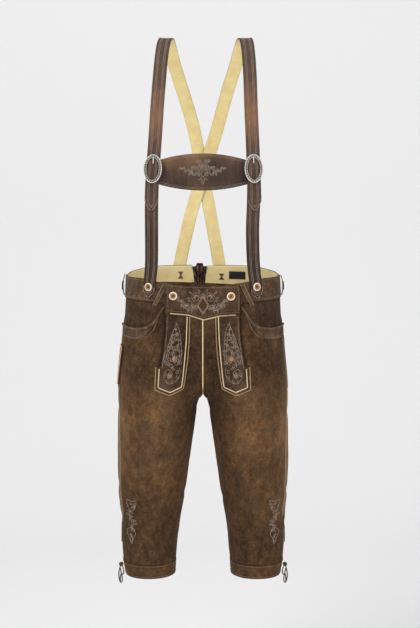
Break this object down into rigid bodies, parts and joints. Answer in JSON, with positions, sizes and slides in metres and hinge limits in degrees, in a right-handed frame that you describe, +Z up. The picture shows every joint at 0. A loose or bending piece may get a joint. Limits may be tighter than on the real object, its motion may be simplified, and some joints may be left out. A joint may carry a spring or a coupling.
{
  "type": "leather shorts with braces",
  "caption": "Knee-length suede lederhosen filled out as if worn, with front flap, embroidered tongues, buckled braces and a chest bar.",
  "frame": {"origin": "centre of the waist opening, level with the waistband's top edge at the sides", "axes": "+Z up along the wearer's body, the front faces -Y, +X is the wearer's left"},
  "size_m": [0.3906, 0.2899, 1.2469],
  "materials": {
    "suede": "worn brown suede, matt, paler on the folds",
    "strap_leather": "brown nappa leather, satin, creased",
    "piping": "pale cream leather, matt",
    "horn": "horn button, pale rim and dark middle, semi-gloss",
    "antique_silver": "antique silver, darkened in the hollows",
    "label_cloth": "blank woven label",
    "thong": "round brown leather lace"
  },
  "bodies": {
    "root": {"back_gusset": "suede", "back_lace": "thong", "back_panel_left": "suede", "back_panel_right": "suede", "bib_button_left": "horn", "bib_button_right": "horn", "bib_piping": "piping", "brace_button_back_left": "horn", "brace_button_back_right": "horn", "brace_button_front_left": "horn", "brace_button_front_right": "horn", "buckle_left": "antique_silver", "buckle_prong_left": "antique_silver", "buckle_prong_right": "antique_silver", "buckle_right": "antique_silver", "centre_piping": "piping", "chest_bar": "strap_leather", "front_bib": "suede", "front_loop_left": "suede", "front_loop_right": "suede", "front_panel_left": "suede", "front_panel_right": "suede", "hem_band_left": "suede", "hem_band_right": "suede", "hip_yoke_left": "suede", "hip_yoke_right": "suede", "knife_pocket": "suede", "label": "label_cloth", "lower_strap_left": "strap_leather", "lower_strap_right": "strap_leather", "pocket_facing_left": "suede", "pocket_facing_right": "suede", "side_loop_left": "suede", "side_loop_right": "suede", "side_welt_left": "suede", "side_welt_right": "suede", "tie_knot_left": "thong", "tie_knot_right": "thong", "tie_long_left": "thong", "tie_long_right": "thong", "tie_short_left": "thong", "tie_short_right": "thong", "tongue_top_left": "suede", "tongue_top_piping_left": "piping", "tongue_top_piping_right": "piping", "tongue_top_right": "suede", "tongue_under_left": "suede", "tongue_under_piping_left": "piping", "tongue_under_piping_right": "piping", "tongue_under_right": "suede", "upper_strap_left": "strap_leather", "upper_strap_right": "strap_leather", "waistband_back_left": "suede", "waistband_back_right": "suede", "waistband_front_left": "suede", "waistband_front_right": "suede"}
  },
  "joints": []
}
